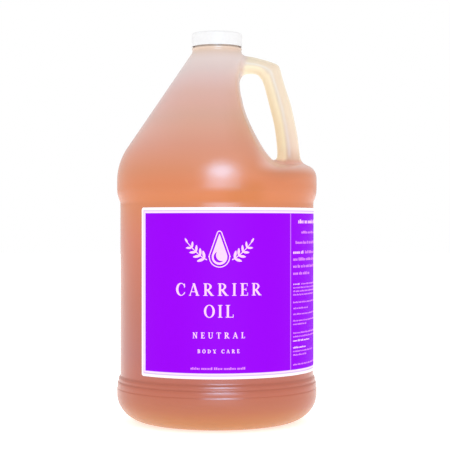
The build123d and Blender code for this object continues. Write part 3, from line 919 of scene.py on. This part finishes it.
def hdpe(inner=False):
    """Natural milky plastic with the oil's tint showing through: deeper where more oil lies behind it. Its colour also
    holds painted shade, painted light, a painted highlight and a painted sheen, marked below.
    """
    m = Mat("hdpe_inner" if inner else "hdpe_natural")
    v, x, y, z = m.place()
    h = m.math("DIVIDE", z, 300.0)
    gain = 0.93
    base = m.ramp(h, [(zz / 300, lin(*c, gain)) for zz, c in BODY_TINT_AND_SHADE])
    if inner:
        sh = m.principled(m.mix(0.35, base, (0.86, 0.84, 0.80)), 0.45)
        return m.done(m.clear(sh, (0.96, 0.93, 0.88), 0.16))
    thin = m.n("ShaderNodeAttribute", attribute_name="thin").outputs["Fac"]
    geo = m.n("ShaderNodeNewGeometry")
    ns = m.n("ShaderNodeSeparateXYZ")
    m.link(geo.outputs["Normal"], ns.inputs[0])
    # handle: cream, with painted shade that makes the flank towards the jug and the underside yellower
    grip = m.ramp(m.math("DIVIDE", m.math("SUBTRACT", z, 190.0), 100.0),
                  [(0.02, lin(226, 190, 166)), (0.12, lin(230, 202, 184)), (0.20, lin(238, 222, 208)), (0.45, lin(240, 230, 210)), (0.8, lin(238, 228, 210))])
    yellow = m.ramp(m.math("DIVIDE", m.math("SUBTRACT", z, 190.0), 100.0),
                    [(0.02, lin(232, 203, 172)), (0.12, lin(236, 214, 184)), (0.22, lin(239, 230, 197)), (0.45, lin(241, 234, 206)), (0.8, lin(239, 229, 208))])
    side = m.map(m.math("MINIMUM", ns.outputs[0], ns.outputs[2]), 0.0, -0.6)
    grip = m.mix(side, grip, yellow)
    color = m.mix(thin, base, grip)
    # painted sheen: the wall is painted paler where it is seen edge on
    lw = m.n("ShaderNodeLayerWeight")
    lw.inputs["Blend"].default_value = 0.5
    edge = m.math("POWER", lw.outputs["Facing"], 7.0)
    high = m.math("ADD", m.map(z, 190.0, 235.0, 0.0, 0.35), 0.35)
    low = m.math("MULTIPLY", m.map(z, 6.0, 22.0, 0.2, 1.0), m.math("SUBTRACT", 1.0, m.math("MULTIPLY", m.map(z, 162.0, 167.0), m.map(z, 184.0, 177.0))))
    color = m.mix(m.math("MULTIPLY", m.math("MULTIPLY", edge, high), low), color, lin(232, 214, 206, gain))
    # painted shade: the step below the shoulder is painted a deeper orange, more so towards the sides
    step = m.math("MULTIPLY", m.math("MULTIPLY", m.map(z, 163.5, 167.0), m.map(z, 178.0, 173.0)), m.math("POWER", lw.outputs["Facing"], 2.0))
    color = m.mix(step, color, m.mix(1.0, color, (0.88, 0.74, 0.62), "MULTIPLY"))
    # painted shade: a deeper orange beside the hand pocket; painted light: paler and cooler on the shoulder's far side
    cone_zone = m.math("MULTIPLY", m.map(z, 192.0, 222.0), m.map(z, 282.0, 250.0))
    pocket_shade = m.math("MULTIPLY", m.math("MULTIPLY", m.map(x, 2.0, 30.0), cone_zone), m.math("SUBTRACT", 1.0, thin))
    color = m.mix(pocket_shade, color, m.mix(1.0, color, (0.94, 0.86, 0.68), "MULTIPLY"))
    far_side_light = m.math("MULTIPLY", m.map(x, -16.0, -60.0), m.map(z, 186.0, 226.0))
    color = m.mix(far_side_light, color, m.mix(1.0, color, (1.03, 1.08, 1.20), "MULTIPLY"))
    # painted shade: a deeper orange band low on the shoulder; painted highlight: a paler ledge under the handle
    shoulder_band_shade = m.math("MULTIPLY", m.math("MULTIPLY", m.map(z, 162.0, 170.0), m.map(z, 186.0, 176.0)), m.math("MULTIPLY", m.map(x, 0.0, 16.0), m.map(x, 40.0, 26.0)))
    color = m.mix(shoulder_band_shade, color, m.mix(1.0, color, (0.93, 0.90, 0.68), "MULTIPLY"))
    ledge_highlight = m.math("MULTIPLY", m.math("MULTIPLY", m.map(x, 26.0, 42.0), m.map(z, 187.0, 196.0)), m.math("SUBTRACT", 1.0, thin))
    color = m.mix(m.math("MULTIPLY", ledge_highlight, 0.9), color, lin(246, 196, 180))
    cloud = m.noise(v, 0.018, 3.0, 0.55)
    color = m.mix(1.0, color, m.mix(cloud, (0.955, 0.94, 0.93), (1.0, 1.0, 1.0)), "MULTIPLY")
    # faint moulded skin, and the line where the two mould halves met
    skin = m.noise(v, 0.9, 3.0, 0.6)
    wave = m.noise(v, 0.05, 2.0, 0.5)
    seam = m.map(m.math("ABSOLUTE", y), 0.10, 0.42, 1.0, 0.0)
    height = m.math("ADD", m.math("MULTIPLY", skin, 0.10), m.math("ADD", m.math("MULTIPLY", wave, 0.6), m.math("MULTIPLY", seam, 0.35)))
    normal = m.bump(height, 0.0006, 0.35)
    rough = m.math("ADD", m.math("MULTIPLY", cloud, 0.035), 0.234)
    # painted light: an emission stands in for the light that soaks through the slim grip from behind and lifts its
    # shaded flank
    soak = m.math("MULTIPLY", thin, m.math("ADD", m.math("MULTIPLY", side, 0.40), 0.05))
    shine = m.map(thin, 0.0, 1.0, 0.5, 0.16, "LINEAR")
    sh = m.principled(color, rough, normal, IOR=1.5, Specular_IOR_Level=shine,
                      Emission_Color=lin(240, 246, 210), Emission_Strength=soak)
    tint = m.mix(thin, (0.93, 0.74, 0.55), (0.95, 0.89, 0.74))
    amount = m.map(thin, 0.0, 1.0, 0.88, 0.78, "LINEAR")
    return m.done(m.clear(sh, tint, amount))


def oil_mat():
    m = Mat("oil_amber")
    v, x, y, z = m.place()
    swirl = m.noise(v, 0.012, 2.0, 0.5)
    color = m.mix(swirl, lin(222, 150, 62), lin(238, 176, 92))
    lw = m.n("ShaderNodeLayerWeight")
    lw.inputs["Blend"].default_value = 0.4
    sh = m.principled(color, 0.08, None, IOR=1.47)
    amount = m.map(lw.outputs["Facing"], 0.0, 1.0, 0.30, 0.62)
    return m.done(m.clear(sh, (0.96, 0.80, 0.50), amount))


def cap_mat():
    m = Mat("cap_white")
    v, x, y, z = m.place()
    r = m.math("SQRT", m.math("ADD", m.math("MULTIPLY", x, x), m.math("MULTIPLY", y, y)))
    speck = m.noise(v, 0.6, 4.0, 0.6)
    color = m.mix(m.map(speck, 0.35, 0.75), (0.83, 0.83, 0.835), (0.81, 0.81, 0.817))
    # handling scuffs on the roof, and a faint mould ring round its middle
    scuff = m.noise(v, 0.25, 6.0, 0.7)
    ring = m.map(m.math("ABSOLUTE", m.math("SUBTRACT", r, 5.0)), 0.12, 0.35, 1.0, 0.0)
    gate = m.map(r, 1.1, 1.4, 1.0, 0.0)
    roof = m.map(z, 296.6, 297.2)
    detail = m.math("MULTIPLY", roof, m.math("ADD", ring, gate))
    height = m.math("ADD", m.math("MULTIPLY", speck, 0.08), m.math("ADD", m.math("MULTIPLY", scuff, 0.05), m.math("MULTIPLY", detail, 0.4)))
    sh = m.principled(color, m.map(scuff, 0.3, 0.7, 0.30, 0.42), m.bump(height, 0.0004, 0.4), Specular_IOR_Level=0.08)
    return m.done(sh)


def liner_mat():
    m = Mat("liner_foam")
    v, x, y, z = m.place()
    vor = m.n("ShaderNodeTexVoronoi")
    m.put(vor.inputs["Vector"], v)
    vor.inputs["Scale"].default_value = 1.6
    color = m.mix(m.noise(v, 0.8, 3.0), (0.80, 0.79, 0.76), (0.90, 0.89, 0.87))
    return m.done(m.principled(color, 0.75, m.bump(vor.outputs[0], 0.0002, 0.5)))


def label_mat():
    m = Mat("label_paper")
    v, x, y, z = m.place()
    a = m.math("ARCTAN2", x, m.math("MULTIPLY", y, -1.0))
    u = m.math("MULTIPLY", a, R_LABEL + SHEET)
    d = MM_PER_DEG
    def inset(lo, hi, val):
        return m.math("MINIMUM", m.math("SUBTRACT", val, lo), m.math("SUBTRACT", hi, val))
    e = m.math("MINIMUM", inset(LABEL_A0 * d, LABEL_A1 * d, u), inset(LABEL_LOW, LABEL_HIGH, z))
    white, line, pale, purple = lin(250, 244, 250), lin(214, 188, 228), lin(243, 222, 250), lin(149, 0, 235)
    grain = m.noise(v, 1.4, 4.0, 0.6)
    deep = m.mix(m.map(grain, 0.3, 0.7), lin(147, 0, 232), purple)
    color = m.mix(m.map(e, 1.8, 2.1), white, line)
    color = m.mix(m.map(e, 2.7, 3.0), color, pale)
    color = m.mix(m.map(e, 3.9, 4.3), color, deep)
    split = m.map(m.math("ABSOLUTE", m.math("SUBTRACT", u, 47.0 * d)), 0.25, 0.5, 1.0, 0.0)
    split = m.math("MULTIPLY", split, m.map(e, 3.9, 4.3))
    color = m.mix(m.math("MULTIPLY", split, 0.75), color, lin(214, 140, 255))
    wrinkle = m.noise(v, 0.06, 3.0, 0.5)
    normal = m.bump(m.math("ADD", m.math("MULTIPLY", wrinkle, 0.5), m.math("MULTIPLY", grain, 0.03)), 0.0006, 0.2)
    return m.done(m.principled(color, m.map(grain, 0.3, 0.7, 0.50, 0.58), normal, Specular_IOR_Level=0.03))


def ink_mat():
    m = Mat("label_ink")
    v, x, y, z = m.place()
    grain = m.noise(v, 2.2, 3.0, 0.6)
    color = m.mix(m.map(grain, 0.3, 0.7), lin(250, 196, 255), lin(255, 212, 255))
    return m.done(m.principled(color, m.map(grain, 0.3, 0.7, 0.5, 0.58), None, Specular_IOR_Level=0.1))


def fine_ink_mat():
    """The smallest print, where thin strokes let the ground colour through."""
    m = Mat("label_ink_fine")
    v, x, y, z = m.place()
    grain = m.noise(v, 2.2, 3.0, 0.6)
    color = m.mix(m.map(grain, 0.3, 0.7), lin(222, 128, 255), lin(232, 146, 255))
    return m.done(m.principled(color, m.map(grain, 0.3, 0.7, 0.5, 0.58), None, Specular_IOR_Level=0.1))


def floor_mat():
    m = Mat("floor_white")
    v, x, y, z = m.place()
    grain = m.noise(v, 0.02, 2.0)
    tone = m.mix(grain, (0.95, 0.95, 0.95), (0.965, 0.965, 0.965))
    return m.done(m.principled(tone, 0.9, None, Specular_IOR_Level=0.1, Emission_Color=(1.0, 1.0, 1.0), Emission_Strength=0.60))


# ---------------------------------------------------------------- put it together
def dress(ob, *mats):
    ob.data.materials.clear()
    for mt in mats:
        ob.data.materials.append(mt)


shell = build_jug()
dress(shell, hdpe(), hdpe(True))
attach(shell, "jug")
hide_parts("jug_body")

oil = build_oil()
dress(oil, oil_mat())
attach(oil, "jug")
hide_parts("oil_fill")

sheet, ink, fine_lines = build_label()
dress(sheet, label_mat())
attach(sheet, "jug")
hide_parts("wrap_label")
ink_material = ink_mat()
for ob in ink:
    dress(ob, ink_material)
    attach(ob, "jug")

dress(fine_lines, fine_ink_mat())
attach(fine_lines, "jug")

dress(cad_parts["screw_cap"], cap_mat())
dress(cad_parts["cap_liner"], liner_mat())

for ob in (shell, oil, sheet):
    print(ob.name, len(ob.data.vertices), sum(len(p.vertices) - 2 for p in ob.data.polygons))
print("ink", sum(len(p.vertices) - 2 for ob in ink + [fine_lines] for p in ob.data.polygons))

# ---------------------------------------------------------------- floor, light, camera
bpy.ops.mesh.primitive_plane_add(size=12.0, location=(0, 0, -0.0004))
floor = bpy.context.object
floor.name = "studio_floor"
dress(floor, floor_mat())


def area(name, where, target, wide, tall, radiance, diffuse=True, glossy=True, color=(1, 1, 1), shape="ELLIPSE"):
    """Soft box of a given brightness, aimed at a point."""
    data = bpy.data.lights.new(name, "AREA")
    data.shape, data.size, data.size_y = shape, wide, tall
    data.energy = radiance * math.pi * wide * tall * (math.pi / 4 if shape == "ELLIPSE" else 1)
    data.color = color
    ob = bpy.data.objects.new(name, data)
    bpy.context.scene.collection.objects.link(ob)
    ob.location = where
    ob.rotation_euler = (Vector(target) - Vector(where)).to_track_quat("-Z", "Y").to_euler()
    ob.visible_camera = False
    ob.visible_diffuse = diffuse
    ob.visible_glossy = glossy
    ob.visible_transmission = False
    return ob


def spot_at(azimuth, elevation, distance):
    a, e = math.radians(azimuth), math.radians(elevation)
    return (distance * math.sin(a) * math.cos(e), -distance * math.cos(a) * math.cos(e), 0.15 + distance * math.sin(e))


area("key_soft", spot_at(12, 30, 1.9), (0, 0, 0.16), 1.3, 1.3, 0.42, glossy=False)
area("shine_core", spot_at(5.0, 14.5, 1.5), (0, 0, 0.18), 0.60, 0.58, 15.0, diffuse=False, color=(0.30, 0.66, 1.0))
area("shine_halo", spot_at(6.0, 8.5, 1.45), (0, 0, 0.16), 1.05, 1.5, 6.2, diffuse=False, color=(0.36, 0.70, 1.0))

world = bpy.data.worlds.new("studio_white")
bpy.context.scene.world = world
world.use_nodes = True
wt = world.node_tree
wt.nodes.clear()
wout = wt.nodes.new("ShaderNodeOutputWorld")
lp = wt.nodes.new("ShaderNodeLightPath")
seen, lit = wt.nodes.new("ShaderNodeBackground"), wt.nodes.new("ShaderNodeBackground")
seen.inputs[0].default_value, seen.inputs[1].default_value = (1, 1, 1, 1), 1.0
lit.inputs[0].default_value, lit.inputs[1].default_value = (1.0, 1.0, 1.0, 1), 0.89
wmix = wt.nodes.new("ShaderNodeMixShader")
wt.links.new(lp.outputs["Is Camera Ray"], wmix.inputs[0])
wt.links.new(lit.outputs[0], wmix.inputs[1])
wt.links.new(seen.outputs[0], wmix.inputs[2])
wt.links.new(wmix.outputs[0], wout.inputs[0])

cam_data = bpy.data.cameras.new("camera")
cam_data.lens, cam_data.sensor_width, cam_data.sensor_fit = 108.16, 36.0, "HORIZONTAL"
cam_data.clip_start, cam_data.clip_end = 0.05, 50
cam = bpy.data.objects.new("camera", cam_data)
bpy.context.scene.collection.objects.link(cam)
cam.location = (0.00624, -1.0417, 0.15017)
cam.rotation_euler = (math.pi / 2, 0, 0)
scene = bpy.context.scene
scene.camera = cam
scene.view_settings.view_transform = "Standard"
scene.view_settings.look = "None"
scene.cycles.transparent_max_bounces = 32
scene.cycles.max_bounces = 8
scene.cycles.transmission_bounces = 8
